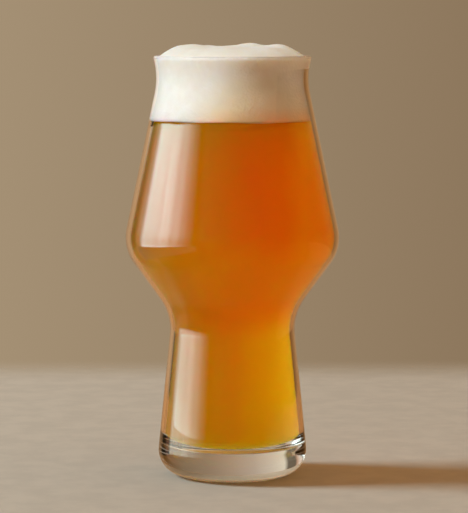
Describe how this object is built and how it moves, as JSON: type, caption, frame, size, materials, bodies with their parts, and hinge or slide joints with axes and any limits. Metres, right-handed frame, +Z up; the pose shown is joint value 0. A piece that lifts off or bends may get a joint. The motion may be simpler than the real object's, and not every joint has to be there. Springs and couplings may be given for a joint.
{
  "type": "beer glass",
  "caption": "Waisted clear beer glass with a bulging tapered bowl, flared lip and thick foot, filled with hazy amber beer under a domed white foam head.",
  "frame": {"origin": "middle of the foot, on the plane that the glass stands on", "axes": "+Z up along the axis that the glass is turned about; the picture looks along +Y, with +X to its right"},
  "size_m": [0.091, 0.091, 0.184],
  "materials": {
    "clear_glass": "polished",
    "amber_beer": "glossy",
    "cream_foam": "matte"
  },
  "bodies": {
    "root": {"glass_vessel": "clear_glass", "beer": "amber_beer", "foam_head": "cream_foam"}
  },
  "joints": []
}
